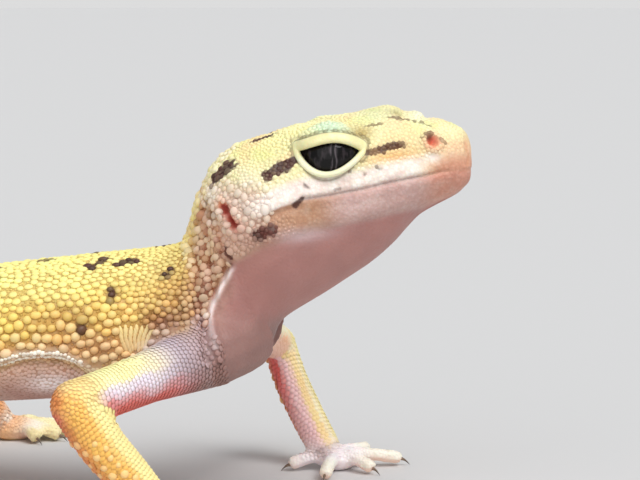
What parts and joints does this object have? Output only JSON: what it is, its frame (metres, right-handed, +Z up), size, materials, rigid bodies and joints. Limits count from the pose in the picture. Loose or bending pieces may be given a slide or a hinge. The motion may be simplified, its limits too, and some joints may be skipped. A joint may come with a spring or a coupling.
{
  "type": "leopard gecko figure",
  "caption": "Life-size leopard gecko standing with its head raised, eyes open, mouth closed and thick ringed tail laid on the floor.",
  "frame": {"origin": "on the floor, under the middle of the animal's bounding box", "axes": "+X towards the snout, +Y to the animal's left, +Z up"},
  "size_m": [0.1608, 0.0764, 0.0458],
  "materials": {
    "scaly_skin": "satin beaded scales, pale yellow above and tan on the flanks, with dark brown spots",
    "throat_skin": "soft satin, dusky pink with very fine scales",
    "foot_skin": "soft satin, cream and slightly translucent",
    "eye": "wet gloss, near black with faint grey marbling round an upright slit",
    "claw": "satin horn, dark towards the tip"
  },
  "bodies": {
    "root": {"eye_left": "eye", "eye_right": "eye", "head": "scaly_skin", "lower_jaw": "throat_skin", "throat": "throat_skin", "neck": "scaly_skin", "chest": "scaly_skin", "belly": "scaly_skin", "pelvis": "scaly_skin", "tail_base": "scaly_skin", "tail_middle": "scaly_skin", "tail_tip": "scaly_skin", "upper_arm_right": "scaly_skin", "forearm_right": "scaly_skin", "claw_hand_right_1": "claw", "claw_hand_right_2": "claw", "claw_hand_right_3": "claw", "claw_hand_right_4": "claw", "claw_hand_right_5": "claw", "hand_right": "foot_skin", "upper_arm_left": "scaly_skin", "forearm_left": "scaly_skin", "claw_hand_left_1": "claw", "claw_hand_left_2": "claw", "claw_hand_left_3": "claw", "claw_hand_left_4": "claw", "claw_hand_left_5": "claw", "hand_left": "foot_skin", "thigh_left": "scaly_skin", "shank_left": "scaly_skin", "claw_foot_left_1": "claw", "claw_foot_left_2": "claw", "claw_foot_left_3": "claw", "claw_foot_left_4": "claw", "claw_foot_left_5": "claw", "foot_left": "foot_skin", "thigh_right": "scaly_skin", "shank_right": "scaly_skin", "claw_foot_right_1": "claw", "claw_foot_right_2": "claw", "claw_foot_right_3": "claw", "claw_foot_right_4": "claw", "claw_foot_right_5": "claw", "foot_right": "foot_skin"}
  },
  "joints": []
}
